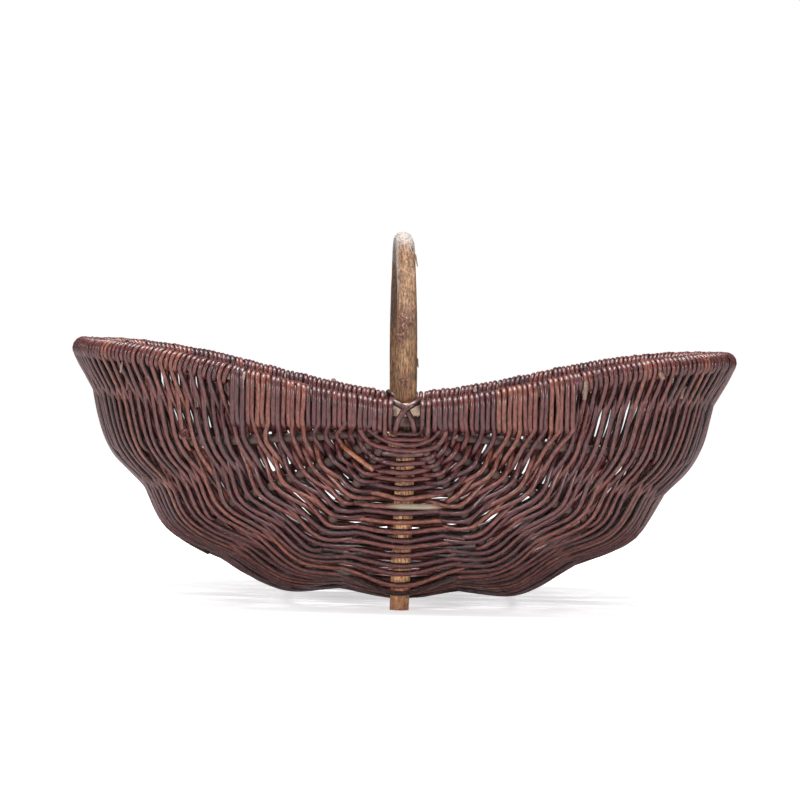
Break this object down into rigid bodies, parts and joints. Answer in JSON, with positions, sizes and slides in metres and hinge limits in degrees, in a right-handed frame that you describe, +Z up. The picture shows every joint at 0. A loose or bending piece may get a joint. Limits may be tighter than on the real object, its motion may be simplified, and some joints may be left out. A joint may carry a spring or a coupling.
{
  "type": "trug garden basket",
  "caption": "Boat-shaped woven garden basket with a raised rim at both ends, curved ribs and a bent stick handle whose legs are its feet.",
  "frame": {"origin": "on the ground, midway between the two feet", "axes": "+X along the length, +Y across to the back foot, +Z up"},
  "size_m": [0.5992, 0.3476, 0.3318],
  "materials": {
    "weaving_rods": "unpeeled willow, satin bark",
    "lashing_rods": "unpeeled willow, satin bark",
    "rib_rods": "grey-brown willow bark, matte",
    "rim_rods": "bare light wood, matte",
    "handle_stick": "fibrous tan bark, matte"
  },
  "bodies": {
    "root": {"rim_hoop": "rim_rods", "handle": "handle_stick", "bottom_rib": "rib_rods", "rib_left_1": "rib_rods", "rib_left_2": "rib_rods", "rib_left_3": "rib_rods", "rib_right_1": "rib_rods", "rib_right_2": "rib_rods", "rib_right_3": "rib_rods", "edge_bar_front": "rim_rods", "edge_bar_back": "rim_rods", "edge_wrap_front_left": "weaving_rods", "edge_wrap_front_right": "weaving_rods", "edge_wrap_back_left": "weaving_rods", "edge_wrap_back_right": "weaving_rods", "cross_lashing_front": "lashing_rods", "cross_lashing_back": "lashing_rods", "weave_front_1": "weaving_rods", "weave_front_2": "weaving_rods", "weave_front_3": "weaving_rods", "weave_front_4": "weaving_rods", "weave_front_5": "weaving_rods", "weave_front_6": "weaving_rods", "weave_back_1": "weaving_rods", "weave_back_2": "weaving_rods", "weave_back_3": "weaving_rods", "weave_back_4": "weaving_rods", "weave_back_5": "weaving_rods", "weave_back_6": "weaving_rods"}
  },
  "joints": []
}
